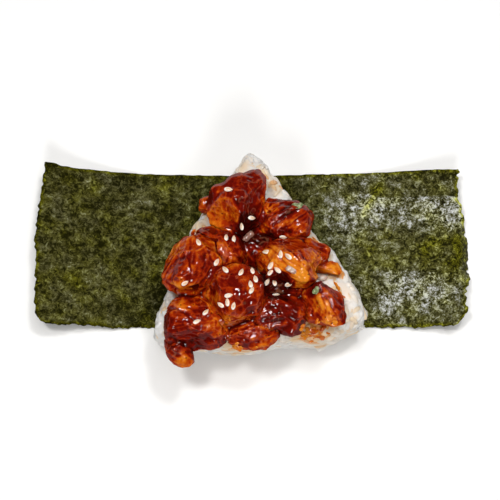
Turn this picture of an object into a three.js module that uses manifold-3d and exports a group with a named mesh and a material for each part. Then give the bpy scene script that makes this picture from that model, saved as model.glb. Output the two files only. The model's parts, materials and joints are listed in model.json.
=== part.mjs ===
// An open-faced onigiri, lying flat: a toasted nori strip, a moulded triangle of rice on it, and a pile of
// glazed chicken pieces with sesame seeds and herb flakes on the rice. Millimetres, +Z up, +X along the strip,
// -Y towards the triangle's base. The origin is the middle of the strip's underside.
import * as THREE from "three";
import { mergeVertices } from "three/addons/utils/BufferGeometryUtils.js";
import Module from "manifold-3d";

const wasm = await Module();
wasm.setup();

// ---------------------------------------------------------------- driving dimensions

// Clearance left between pieces that rest on each other.
const GAP = 0.3;

// A third-cut nori sheet. Its middle is pressed flat by the rice and its two ends curl up.
const NORI = {
  ends: [93.8, 92.5], // from the middle to the left and right end, in plan
  width: 69,
  thick: 0.6,
  columns: 25,
  rows: 7,
  flatHalf: 42, // half length of the stretch that lies flat
  lift: [14, 10], // how high the left and right ends curl
  frontCorner: [4.5, 6], // rounding of the two front corners
  backIn: [1.7, 2.2], // how much the torn ends draw in towards the back
  backFlare: [1.7, 1.4], // how much the back edge bows out towards each end
  ripple: 0.7,
};

// The rice triangle: three sides and a blunted corner, each facing a bearing in degrees at a distance from the
// middle, with a bulge, and the dents and swellings of its edge: bearing, size and half width in degrees.
const RICE = {
  middle: [3, -14],
  sides: [
    { bearing: 32.7, reach: 27.5, bulge: 0.9 },
    { bearing: 153, reach: 29.4, bulge: 3.9 },
    { bearing: 256.5, reach: 40.2, bulge: 1.4 },
    { bearing: 281.5, reach: 34.1, bulge: -0.9 },
  ],
  cornering: 9, // higher gives sharper corners
  swellings: [
    [8, 4.1, 10], [28, -0.7, 8], [64, 1.3, 7], [90, -0.9, 6], [95.5, 1.2, 3.5], [101, -0.7, 7], [140, 2.2, 9],
    [207, -0.5, 6], [232, -3, 10], [253, -0.5, 9], [281, -1, 9], [311, 2.6, 8], [329, -1.6, 6], [345, 2.2, 8],
    [354, 1.3, 6],
  ],
  height: 27.5,
  topRound: 6.5,
  footRound: 4.5,
  around: 36,
  bunching: 0.2, // draws the steps round it together at the three corners
  levels: [0, 0.345, 0.385, 0.42, 0.47, 0.52, 0.57, 0.605, 0.64, 0.675, 0.82, 1], // shares of the section's length
  lump: 0.4,
  margin: 0.5, // how far the grains stand out of the core
};
const RICE_FOOT = NORI.thick + GAP;
const RICE_MEAN = 42; // typical distance from the middle to the outline

// A cooked short grain. Rows of them stand on the core, from low on its side to the margin of its top.
const GRAIN = { length: 7, width: 3.6, thick: 3.3, pitch: 9.8, rows: 7, lowest: 0.45, highest: 0.79 };

const SEED = { length: 3.3, width: 2.0, thick: 1.0 };
const FLAKE = { length: 4.4, width: 3.2, thick: 0.7 };

// The chicken pieces, those that keep their whole shape first: each later one is cut back where it presses
// on an earlier one. at is the middle. reach is the distance to the outline in plan towards eight bearings,
// every 45 degrees from +X. up and down are the heights above and below the middle. faces are flats cut
// across the lump: bearing, elevation and the share of the distance that is left.
const PIECES = [
  {
    name: "chicken_back",
    at: [-7.7, 10, 40.5],
    reach: [12.4, 17.4, 11, 9.6, 11.6, 13, 12, 12.3],
    up: 10.5,
    down: 13,
    faces: [[228, 34, 0.7], [60, 50, 0.86], [330, 25, 0.84]],
    detail: 3,
  },
  {
    name: "chicken_centre",
    at: [-5.9, -28.5, 41],
    reach: [12, 11.8, 11, 13.4, 12.8, 12.8, 13, 12],
    up: 11.5,
    down: 13.5,
    faces: [[205, 18, 0.84], [275, 22, 0.88], [70, 72, 0.88]],
    detail: 3,
  },
  {
    name: "chicken_right",
    at: [15.3, -15.7, 40],
    reach: [15, 13, 10.4, 12.3, 13.4, 9, 10, 13.8],
    up: 10,
    down: 12.5,
    faces: [[238, 42, 0.82], [52, 46, 0.8]],
    detail: 3,
  },
  {
    name: "chicken_left",
    at: [-24.9, -16.6, 38],
    reach: [10.8, 13.4, 13.6, 11.4, 11.7, 13.4, 13.4, 11.4],
    up: 10,
    down: 11,
    faces: [[150, 38, 0.86], [262, 26, 0.84]],
    detail: 3,
  },
  {
    name: "chicken_front_right",
    at: [28.9, -32.5, 36.5],
    reach: [9.9, 10, 10.4, 9.1, 8.4, 8.9, 9.8, 12.4],
    up: 9,
    down: 9,
    faces: [[40, 44, 0.8], [190, 46, 0.82]],
    detail: 2,
  },
  {
    name: "chicken_back_right",
    at: [13.9, 4.2, 36],
    reach: [11.2, 8.8, 7.2, 11.6, 13.4, 11.4, 10, 12.4],
    up: 8.6,
    down: 9,
    faces: [[318, 48, 0.82], [130, 50, 0.84]],
    detail: 2,
  },
  {
    name: "chicken_inner_left",
    at: [-12.6, -10.8, 36],
    reach: [9, 9, 11, 13, 10, 9, 10, 9.6],
    up: 8.6,
    down: 8.5,
    faces: [[100, 66, 0.88]],
    detail: 2,
  },
  {
    name: "chicken_front_left",
    at: [-22.2, -39.2, 34.5],
    reach: [14.4, 12, 11.6, 13.4, 15, 15.4, 12, 14.4],
    up: 8.2,
    down: 7.5,
    faces: [[70, 62, 0.86], [268, 36, 0.8]],
    detail: 3,
  },
  {
    name: "chicken_front",
    at: [11.2, -36.9, 35.5],
    reach: [10.8, 10.4, 8, 10.4, 12, 10, 8.4, 11],
    up: 8.8,
    down: 8.5,
    faces: [[262, 44, 0.8]],
    detail: 2,
  },
  {
    name: "chicken_front_low",
    at: [0.6, -43.6, 32.5],
    reach: [12.6, 10, 8, 10, 11, 9, 7.2, 8.8],
    up: 6.6,
    down: 5.5,
    faces: [[275, 40, 0.84]],
    detail: 2,
  },
  {
    name: "chicken_inner_right",
    at: [10.5, -25.4, 33.5],
    reach: [10.8, 9, 8.4, 9.4, 9.4, 9.6, 9, 10.4],
    up: 5.6,
    down: 6,
    faces: [],
    detail: 2,
  },
  {
    name: "chicken_hollow",
    at: [-1.6, -6.2, 32.5],
    reach: [10, 10.6, 9, 9, 8.6, 9, 10.4, 10.6],
    up: 5.4,
    down: 5,
    faces: [],
    detail: 2,
  },
  {
    name: "chicken_corner",
    at: [-30.2, -50, 30],
    reach: [5.8, 6.6, 7.6, 7.6, 7.2, 5.8, 6.6, 8],
    up: 5.8,
    down: 5.4,
    faces: [[235, 38, 0.86]],
    detail: 1,
  },
  {
    name: "chicken_side",
    at: [26.6, -7.4, 32.2],
    reach: [6.6, 5, 5.4, 6.4, 8.4, 9, 8, 7.4],
    up: 5,
    down: 5,
    faces: [],
    detail: 1,
  },
  {
    name: "chicken_side_bit",
    at: [32.2, -15.7, 30.6],
    reach: [5.6, 3.8, 3, 4, 6.8, 4, 3.4, 4.4],
    up: 3.2,
    down: 3,
    faces: [],
    detail: 1,
  },
  {
    name: "chicken_edge_bit",
    at: [-20.6, 12.2, 30.4],
    reach: [5.4, 4.6, 4, 3.8, 4.2, 4, 3.8, 4.4],
    up: 4,
    down: 4.2,
    faces: [],
    detail: 1,
  },
];

// Where the sesame seeds and herb flakes lie in plan, and their bearing in degrees.
const SEEDS = [
  [-9.8, 12.3, -8], [-0.4, 2.2, 0], [-4.3, -1.6, 95], [-10.8, -6, 78], [-7.7, -6.5, 85], [-22.1, -8.4, 112],
  [12.5, -5.4, 0], [5.6, -11.9, 170], [11.4, -14, 85], [14.4, -15.2, 140], [-14.6, -16.5, 60], [-11, -20.5, 128],
  [-4.6, -21.7, 66], [-0.1, -20.8, 98], [7.4, -18.1, 55], [7.4, -20.4, 50], [10.1, -20, 140], [-16.4, -22.9, 85],
  [1.2, -24.7, 105], [-27.2, -25.7, 35], [-0.8, -27.2, 100], [-0.4, -29.9, 60], [-9.5, -31.8, 8],
  [-10, -34.3, 92], [-12.8, -35, 145], [-7.6, -35.9, 75], [-18.9, -36.7, 50], [-22.5, -40.7, 25],
  [9, -23.6, 100], [10.6, -23.4, 50], [14.7, -25.3, 20], [9.6, -28.6, 20], [5.9, -23.5, 60],
];
const FLAKES = [
  [18.4, 7.6, 20],
  [26.4, -26.2, 60],
];

// ---------------------------------------------------------------- small tools

const rad = THREE.MathUtils.degToRad;

// The same draws every run: mulberry32.
function dice(seed) {
  let state = seed >>> 0;
  return () => {
    state = (state + 0x6d2b79f5) >>> 0;
    let t = Math.imul(state ^ (state >>> 15), state | 1);
    t = (t + Math.imul(t ^ (t >>> 7), t | 61)) ^ t;
    return ((t ^ (t >>> 14)) >>> 0) / 4294967296;
  };
}

// A unit vector from a bearing and an elevation in degrees.
function heading(bearing, elevation) {
  const flat = Math.cos(rad(elevation));
  return new THREE.Vector3(
    flat * Math.cos(rad(bearing)),
    flat * Math.sin(rad(bearing)),
    Math.sin(rad(elevation)),
  );
}

// Values given at equal steps round a circle, read smoothly at any turn from 0 to 1.
function roundTable(values, turn) {
  const n = values.length;
  const spot = (((turn % 1) + 1) % 1) * n;
  const i = Math.floor(spot);
  const t = spot - i;
  const [a, b, c, d] = [-1, 0, 1, 2].map((k) => values[(i + k + n) % n]);
  return b + 0.5 * t * (c - a + t * (2 * a - 5 * b + 4 * c - d + t * (3 * (b - c) + d - a)));
}

function solidOf(geometry) {
  const bare = geometry.clone();
  bare.deleteAttribute("normal");
  bare.deleteAttribute("uv");
  const merged = mergeVertices(bare, 1e-4);
  return new wasm.Manifold(
    new wasm.Mesh({
      numProp: 3,
      vertProperties: merged.attributes.position.array,
      triVerts: new Uint32Array(merged.index.array),
    }),
  );
}

function geometryOf(solid) {
  const mesh = solid.getMesh();
  const geometry = new THREE.BufferGeometry();
  geometry.setAttribute("position", new THREE.BufferAttribute(mesh.vertProperties, 3));
  geometry.setIndex(new THREE.BufferAttribute(mesh.triVerts, 1));
  geometry.computeVertexNormals();
  return geometry;
}

// The largest closed body, so that a scrap left by a cut is dropped.
function largest(solid) {
  return solid.decompose().sort((a, b) => b.volume() - a.volume())[0];
}

// Moves each vertex of a geometry to where place(vertex) says.
function reshape(geometry, place) {
  const position = geometry.attributes.position;
  const vertex = new THREE.Vector3();
  for (let i = 0; i < position.count; i++) {
    vertex.fromBufferAttribute(position, i);
    const moved = place(vertex);
    position.setXYZ(i, moved.x, moved.y, moved.z);
  }
  return geometry;
}

// A small lying form, such as a grain or seed, with its long side on a bearing in the plane that faces normal.
function lying(geometry, point, normal, bearing) {
  const along = heading(bearing, 0);
  along.addScaledVector(normal, -along.dot(normal)).normalize();
  const across = new THREE.Vector3().crossVectors(normal, along);
  const frame = new THREE.Matrix4().makeBasis(along, across, normal).setPosition(point);
  return geometry.applyMatrix4(frame);
}

// ---------------------------------------------------------------- nori

// The middle surface of the sheet at u along its length and v across its width, both from 0 to 1.
function noriPoint(u, v) {
  const fromFront = v * NORI.width;
  const ends = [0, 1].map((side) => {
    const corner = NORI.frontCorner[side];
    const cut = Math.max(0, corner - fromFront);
    const rounding = corner - Math.sqrt(corner * corner - cut * cut);
    return NORI.ends[side] - rounding - NORI.backIn[side] * v * v;
  });
  const x = -ends[0] + u * (ends[0] + ends[1]);
  const side = x < 0 ? 0 : 1;
  const out = Math.abs(x) / NORI.ends[side];
  const flare = NORI.backFlare[side] * v * out ** 1.5;
  const y = (v - 0.5) * NORI.width + 0.35 * Math.sin(0.11 * x + 5 * v) * (1 - v) + flare;
  const lift = NORI.lift[side];
  const past = Math.max(0, Math.abs(x) - NORI.flatHalf) / (NORI.ends[side] - NORI.flatHalf);
  const ripple = NORI.ripple * past * Math.sin(9 * v + 0.07 * x) + 0.4 * past * Math.sin(0.23 * x - 4 * v);
  return new THREE.Vector3(x, y, lift * past ** 1.7 + Math.max(ripple, -0.2 * lift * past ** 1.7));
}

// Both faces are split into the same triangles, and a rim joins them.
function noriGeometry() {
  const { columns, rows, thick } = NORI;
  const across = columns + 1;
  const points = [];
  for (const z of [thick, 0]) {
    for (let j = 0; j <= rows; j++) {
      const v = 0.5 - 0.5 * Math.cos((Math.PI * j) / rows);
      for (let i = 0; i <= columns; i++) {
        const p = noriPoint(i / columns, v);
        points.push(p.x, p.y, p.z + z);
      }
    }
  }
  const under = across * (rows + 1);
  const faces = [];
  for (let j = 0; j < rows; j++) {
    for (let i = 0; i < columns; i++) {
      const a = j * across + i;
      const [b, c, d] = [a + 1, a + across + 1, a + across];
      faces.push(a, b, c, a, c, d);
      faces.push(under + a, under + c, under + b, under + a, under + d, under + c);
    }
  }
  const rim = [];
  for (let i = 0; i < columns; i++) rim.push(i);
  for (let j = 0; j < rows; j++) rim.push(j * across + columns);
  for (let i = columns; i > 0; i--) rim.push(rows * across + i);
  for (let j = rows; j > 0; j--) rim.push(j * across);
  rim.forEach((a, k) => {
    const b = rim[(k + 1) % rim.length];
    faces.push(a, under + a, under + b, a, under + b, b);
  });
  const geometry = new THREE.BufferGeometry();
  geometry.setAttribute("position", new THREE.Float32BufferAttribute(points, 3));
  geometry.setIndex(faces);
  geometry.computeVertexNormals();
  return geometry;
}

// ---------------------------------------------------------------- rice

// Distance from the middle to the triangle's outline in plan. The three sides blend into rounded corners.
function riceReach(angle) {
  let sum = 0;
  for (const side of RICE.sides) {
    const facing = Math.cos(angle - rad(side.bearing));
    if (facing > 0.02) {
      sum += (side.reach / facing + side.bulge * facing ** 4) ** -RICE.cornering;
    }
  }
  let reach = sum ** (-1 / RICE.cornering) - RICE.margin;
  for (const [bearing, size, width] of RICE.swellings) {
    const away = Math.atan2(Math.sin(angle - rad(bearing)), Math.cos(angle - rad(bearing)));
    reach += size * Math.exp(-((away / rad(width)) ** 2));
  }
  return reach;
}

// Half of the core's upright section, from the middle of its foot to the middle of its top. It is one unit wide
// in the sense that x is scaled later to the reach of each bearing.
const riceSection = (() => {
  const { height, topRound, footRound } = RICE;
  const path = new THREE.Path();
  path.moveTo(0, 0);
  path.lineTo(RICE_MEAN - footRound, 0);
  path.absarc(RICE_MEAN - footRound, footRound, footRound, -Math.PI / 2, 0);
  path.lineTo(RICE_MEAN, height - topRound);
  path.absarc(RICE_MEAN - topRound, height - topRound, topRound, 0, Math.PI / 2);
  path.lineTo(0, height);
  return path;
})();

// A point of the core. turn is the angle in plan. along runs from 0 in the middle of the foot, up the side, to 1
// in the middle of the top.
function ricePoint(turn, along) {
  const section = riceSection.getPointAt(THREE.MathUtils.clamp(along, 0, 1));
  const share = section.x / RICE_MEAN;
  const lump = RICE.lump * Math.sin(3 * turn + 9 * along) * Math.cos(5 * turn - 5 * along);
  const reach = (riceReach(turn) + lump) * share;
  return new THREE.Vector3(
    RICE.middle[0] + reach * Math.cos(turn),
    RICE.middle[1] + reach * Math.sin(turn),
    RICE_FOOT + section.y + 0.6 * lump * share * (along > 0.6 ? 1 : 0),
  );
}

// The bare core. grow swells it, which clears the toppings from it.
function riceCore(grow = 0) {
  const profile = RICE.levels.map((along) => new THREE.Vector2(along > 0 && along < 1 ? 1 : 0, along));
  const geometry = new THREE.LatheGeometry(profile, RICE.around).rotateX(Math.PI / 2);
  return solidOf(
    reshape(geometry, (p) => {
      const even = Math.atan2(p.y, p.x);
      const turn = even - RICE.bunching * Math.sin(3 * (even - rad(94)));
      const point = ricePoint(turn, p.z);
      const swell = new THREE.Vector3(Math.cos(turn), Math.sin(turn), 0).multiplyScalar(Math.hypot(p.x, p.y));
      swell.z = p.z > 0.6 ? 1 : 0;
      return point.addScaledVector(swell, grow);
    }),
  );
}

// Grains in rows over the core's side and edge, each half sunk in. One that would touch what is kept, or would
// stick out of a corner, is skipped.
function riceWithGrains(core, kept) {
  const draw = dice(11);
  const grains = [];
  for (let row = 0; row < GRAIN.rows; row++) {
    const level = THREE.MathUtils.lerp(GRAIN.lowest, GRAIN.highest, row / (GRAIN.rows - 1));
    let turn = draw();
    const end = turn + 2 * Math.PI;
    while (turn < end) {
      const along = level + 0.03 * (draw() - 0.5);
      const point = ricePoint(turn, along);
      const beside = ricePoint(turn + 0.01, along).sub(point);
      const above = ricePoint(turn, along + 0.01).sub(point);
      const normal = new THREE.Vector3().crossVectors(beside, above).normalize();
      turn += ((0.01 * GRAIN.pitch) / beside.length()) * (0.75 + 0.5 * draw());
      const long = above.normalize().applyAxisAngle(normal, rad(180 * draw()));
      const across = new THREE.Vector3().crossVectors(normal, long);
      point.addScaledVector(normal, -0.55 + 0.4 * draw());
      const grain = new THREE.SphereGeometry(0.55, 5, 3)
        .rotateZ(Math.PI / 2)
        .scale(GRAIN.length, GRAIN.width, GRAIN.thick)
        .applyMatrix4(new THREE.Matrix4().makeBasis(long, across, normal).setPosition(point));
      const solid = solidOf(grain);
      const sunk = solid.intersect(core).volume() / solid.volume();
      if (sunk > 0.4 && solid.intersect(kept).isEmpty()) grains.push(solid);
    }
  }
  return largest(wasm.Manifold.union([core, ...grains]));
}

// ---------------------------------------------------------------- chicken

// Distance from a piece's middle to its surface in a direction.
function pieceReach(piece, direction, waves) {
  const flat = Math.hypot(direction.x, direction.y);
  const plan = roundTable(piece.reach, Math.atan2(direction.y, direction.x) / (2 * Math.PI));
  const tall = direction.z > 0 ? piece.up : piece.down;
  let reach = ((flat / plan) ** 2.5 + (Math.abs(direction.z) / tall) ** 2.5) ** (-1 / 2.5);
  for (const [bearing, elevation, left] of piece.faces) {
    const normal = heading(bearing, elevation);
    const facing = direction.dot(normal);
    if (facing > 0.05) {
      const across = roundTable(piece.reach, bearing / 360);
      const distance = left * Math.hypot(across * Math.cos(rad(elevation)), piece.up * Math.sin(rad(elevation)));
      reach = (reach ** -14 + (distance / facing) ** -14) ** (-1 / 14);
    }
  }
  for (const wave of waves) {
    reach *= 1 + wave.size * Math.sin(wave.pace * direction.dot(wave.along) + wave.start);
  }
  return reach;
}

// Four slow waves over a piece, drawn from its place in the list.
function pieceWaves(index) {
  const draw = dice(100 + index);
  return [0.06, 0.05, 0.04, 0.035].map((size, k) => ({
    size,
    pace: 2.4 + 1.6 * k,
    along: heading(360 * draw(), 120 * draw() - 60),
    start: 2 * Math.PI * draw(),
  }));
}

function pieceSolid(piece, index, grow = 0) {
  const waves = pieceWaves(index);
  const middle = new THREE.Vector3(...piece.at);
  const ball = new THREE.IcosahedronGeometry(1, piece.detail);
  return solidOf(
    reshape(ball, (p) => {
      const direction = p.clone().normalize();
      return direction.multiplyScalar(pieceReach(piece, direction, waves) + grow).add(middle);
    }),
  );
}

// Each piece is cut back from the rice and from every piece before it.
function chickenSolids() {
  let taken = riceCore(GAP);
  return PIECES.map((piece, index) => {
    const solid = largest(pieceSolid(piece, index).subtract(taken));
    taken = taken.add(pieceSolid(piece, index, GAP + 0.1));
    return solid;
  });
}

// Fuses each small topping to the piece that it lands on.
function scatter(solids, places, form) {
  const meshes = solids.map((solid) => new THREE.Mesh(geometryOf(solid)));
  const ray = new THREE.Raycaster();
  const down = new THREE.Vector3(0, 0, -1);
  const before = [...solids];
  for (const [x, y, bearing] of places) {
    ray.set(new THREE.Vector3(x, y, 100), down);
    const [hit] = ray.intersectObjects(meshes);
    if (!hit) continue;
    const index = meshes.indexOf(hit.object);
    const point = hit.point.addScaledVector(hit.face.normal, 0.15);
    const topping = solidOf(lying(form(), point, hit.face.normal, bearing));
    const clear = before.every((other, k) => k === index || topping.intersect(other).isEmpty());
    if (clear) solids[index] = solids[index].add(topping);
  }
}

// ---------------------------------------------------------------- the onigiri

const MATERIALS = {
  nori: new THREE.MeshStandardMaterial({ color: 0x3d4220, roughness: 0.5, side: THREE.DoubleSide }),
  rice: new THREE.MeshStandardMaterial({ color: 0xe9e4dc, roughness: 0.45 }),
  chicken: new THREE.MeshStandardMaterial({ color: 0x8a2f10, roughness: 0.25 }),
};

const onigiri = new THREE.Group();
onigiri.name = "onigiri";

function place(name, geometry, material) {
  const mesh = new THREE.Mesh(geometry, material);
  mesh.name = name;
  onigiri.add(mesh);
}

const chicken = chickenSolids();
scatter(chicken, SEEDS, () =>
  new THREE.SphereGeometry(0.55, 5, 3).rotateZ(Math.PI / 2).scale(SEED.length, SEED.width, SEED.thick),
);
scatter(chicken, FLAKES, () =>
  new THREE.CylinderGeometry(0.5, 0.5, 1, 5).rotateX(Math.PI / 2).scale(FLAKE.length, FLAKE.width, FLAKE.thick),
);

place("nori_sheet", noriGeometry(), MATERIALS.nori);
const toppings = wasm.Manifold.union(chicken);
place("rice_triangle", geometryOf(riceWithGrains(riceCore(), toppings)), MATERIALS.rice);
PIECES.forEach((piece, index) => place(piece.name, geometryOf(chicken[index]), MATERIALS.chicken));

export default onigiri;
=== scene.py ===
"""An open-faced onigiri: toasted nori, a moulded rice triangle, and glazed chicken with sesame and herbs.

Laid out as an add-on and run as a script. Lengths are metres in Blender; the tables below are in millimetres.
"""

import json
import math
from typing import NamedTuple
import bpy
import numpy as np
from bpy.props import FloatProperty, FloatVectorProperty, IntProperty, PointerProperty
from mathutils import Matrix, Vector
from mathutils.bvhtree import BVHTree

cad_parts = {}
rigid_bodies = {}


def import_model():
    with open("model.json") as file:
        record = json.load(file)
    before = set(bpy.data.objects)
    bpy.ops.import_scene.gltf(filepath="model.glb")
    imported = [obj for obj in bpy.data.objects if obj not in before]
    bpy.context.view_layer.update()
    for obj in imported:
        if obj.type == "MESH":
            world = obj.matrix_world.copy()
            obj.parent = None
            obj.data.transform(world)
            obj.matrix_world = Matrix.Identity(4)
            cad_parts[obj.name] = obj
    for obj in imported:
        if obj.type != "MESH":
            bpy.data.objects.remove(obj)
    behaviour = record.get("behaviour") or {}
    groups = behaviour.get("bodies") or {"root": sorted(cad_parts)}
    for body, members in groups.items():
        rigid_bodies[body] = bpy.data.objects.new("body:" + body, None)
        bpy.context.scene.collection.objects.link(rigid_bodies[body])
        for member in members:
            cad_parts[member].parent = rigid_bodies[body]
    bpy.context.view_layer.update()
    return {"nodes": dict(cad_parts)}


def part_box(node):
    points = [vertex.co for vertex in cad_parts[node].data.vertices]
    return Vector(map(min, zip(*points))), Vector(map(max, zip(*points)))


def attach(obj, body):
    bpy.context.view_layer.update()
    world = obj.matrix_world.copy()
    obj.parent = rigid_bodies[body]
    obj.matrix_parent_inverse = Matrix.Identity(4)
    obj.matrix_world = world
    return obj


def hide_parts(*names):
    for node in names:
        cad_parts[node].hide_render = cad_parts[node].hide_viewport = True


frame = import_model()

bl_info = {
    "name": "Onigiri",
    "version": (1, 0, 0),
    "blender": (4, 5, 0),
    "location": "3D View > Sidebar > Onigiri",
    "description": "Builds the looks of an open-faced onigiri",
    "category": "Object",
}

MM = 0.001
DOWN, UP = Vector((0, 0, -1)), Vector((0, 0, 1))

NORI_WIDTH = 69  # of the flat sheet
NORI_HALF_LENGTH = 93
RICE_TOP = 27  # about the height of the rice's upper face

# Lamps over the board: place and size in metres, and power in watts. The softbox shades softly without a
# reflection of its own, and the small lamps make the wet glints.
LAMPS = [
    ("softbox", (0.08, 0.08, 1.15), 0.9, 6.3),
    ("right_lamp", (0.24, 0.3, 1.05), 0.14, 3.3),
    ("left_lamp", (-0.24, 0.05, 1.08), 0.14, 3.6),
    ("front_lamp", (0.0, -0.8, 0.75), 0.24, 3.9),
]
ROOM_COLOUR, ROOM_STRENGTH = "#F4F5F8", 0.04
CAMERA_TARGET = (-1.05 * MM, 0.4 * MM, 0)  # the food's middle
SENSOR_WIDTH = 36


class Look(NamedTuple):
    """How one chicken piece is torn and glazed. Angles are in degrees, depths in millimetres."""

    tone: float  # from -1, thinly glazed and orange, to 1, deep and dark
    folds: float  # depth of its folds
    fold_bearing: float
    fibres: float  # depth of its muscle fibres
    fibre_bearing: float


LOOKS = {
    "chicken_back": Look(0.2, 0.5, 60, 0.08, 50),
    "chicken_centre": Look(-0.08, 0.6, 120, 0.06, 120),
    "chicken_right": Look(-0.35, 0.5, -36, 0.36, -36),
    "chicken_left": Look(-0.25, 0.9, 35, 0.05, 70),
    "chicken_front_right": Look(0.0, 0.5, -52, 0.20, -52),
    "chicken_back_right": Look(0.2, 1.1, 34, 0.34, 34),
    "chicken_inner_left": Look(0.4, 0.9, -60, 0.12, -60),
    "chicken_front_left": Look(0.02, 0.7, 10, 0.10, 10),
    "chicken_front": Look(0.5, 1.6, -20, 0.08, -20),
    "chicken_front_low": Look(-0.05, 1.1, 15, 0.08, 0),
    "chicken_inner_right": Look(0.6, 1.6, 40, 0.08, 40),
    "chicken_hollow": Look(0.6, 1.4, -30, 0.10, -30),
    "chicken_corner": Look(0.2, 0.8, -50, 0.08, -50),
    "chicken_side": Look(-0.1, 0.6, -34, 0.25, -34),
    "chicken_side_bit": Look(-0.6, 1.3, 20, 0.08, 0),
    "chicken_edge_bit": Look(-0.2, 0.5, 60, 0.08, 60),
}

# Places with more or less glaze, in plan: middle, half sizes, bearing, and the tone there.
PATCHES = [
    # back
    (-12.9, 4.3, 7.5, 5.0, -15, -0.65), (-11.6, 12.9, 2.9, 1.5, 10, -0.6),
    (-0.6, 10.0, 9.1, 5.4, 75, 0.15), (-1.0, 0.5, 5.8, 2.5, 10, 0.9), (-17.8, 10.7, 3.7, 2.1, 50, 0.25),
    # back right
    (5.4, 8.2, 3.7, 1.2, -80, -0.8), (8.0, 7.3, 3.3, 1.5, 40, -0.75), (12.9, -0.2, 6.2, 2.5, 35, -0.45),
    (18.7, -0.6, 3.7, 2.5, -40, -0.35), (12.9, 4.9, 3.7, 1.9, 35, 0.6), (3.9, 0.2, 2.5, 1.7, -60, -0.5),
    (10.0, -3.3, 6.2, 1.7, 0, 0.8), (14.6, 12.0, 3.3, 1.7, -35, 0.3),
    # right and side
    (12.7, -17.1, 11.2, 4.1, -38, -0.7), (8.3, -7.9, 6.6, 1.5, 0, 0.35),
    (20.4, -25.8, 4.1, 2.5, -30, -0.6), (26.5, -14.7, 5.4, 3.7, -35, -0.2),
    (23.8, -20.4, 3.4, 4.6, -60, -0.6), (33.7, -16.2, 3.3, 2.5, 0, -0.45),
    # left and inner left
    (-9.6, -15.1, 5.4, 3.6, -80, -0.35), (-15.7, -7.6, 5.0, 3.3, -30, -0.35),
    (-31.3, -10.8, 5.0, 2.5, 40, -0.5), (-27.6, -20.2, 5.8, 5.0, 60, 0.3),
    (-19.2, -18.5, 4.1, 2.5, -75, 0.45), (-25.5, -27.2, 7.5, 1.7, -20, -0.5),
    (-31.1, -26.7, 4.1, 1.2, -40, -0.3),
    # centre and hollow
    (-16.2, -32.2, 5.8, 2.3, -70, -0.55), (-6.7, -40.8, 6.6, 1.2, 10, -0.45),
    (-3.4, -33.6, 4.6, 3.7, 0, 0.3), (3.8, -26.5, 5.0, 2.1, 80, 0.4), (-9.8, -27.9, 5.0, 3.3, 0, 0.1),
    (-2.7, -12.7, 2.5, 2.1, 0, -0.4),
    # front left and corner
    (-27.8, -32.7, 6.2, 2.5, -10, -0.5), (-35.4, -41.8, 5.0, 3.3, 80, 0.35),
    (-14.8, -41.9, 6.6, 3.3, -10, -0.4), (-18.9, -48.3, 9.1, 2.1, 0, 0.35),
    (-30.7, -49.1, 5.0, 2.5, -20, 0.4), (-27.5, -55.2, 4.1, 2.1, -15, -0.6),
    (-34.8, -49.7, 2.5, 2.1, 0, -0.2),
    # front, low front and inner right
    (3.8, -47.4, 5.8, 2.5, 15, -0.4), (-2.3, -45.8, 2.5, 3.3, 0, 0.3), (6.2, -36.7, 5.8, 3.7, 0, 0.2),
    (9.5, -41.8, 6.6, 1.5, 12, -0.4), (19.1, -38.2, 4.1, 1.5, 75, -0.4), (13.9, -44.9, 5.8, 1.2, 5, 0.2),
    (10.3, -27.1, 5.8, 4.1, 0, 0.9),
    # hollows between the pieces: deep glaze with painted shade
    (-3.5, -2.5, 3.6, 4.8, 0, 1.0), (2.4, -4.2, 3.2, 2.4, 0, 1.0), (9.5, -24.5, 6.5, 4.0, 0, 1.0),
    (24.0, -27.0, 3.0, 3.4, 0, 0.9),
    # front right
    (27.6, -34.3, 5.8, 2.9, -60, -0.75), (32.4, -40.5, 4.1, 2.5, 20, -0.75),
    (35.3, -31.9, 6.6, 2.1, -70, 0.15), (29.5, -24.7, 3.7, 1.7, -20, 0.7),
]  # fmt: skip

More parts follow.
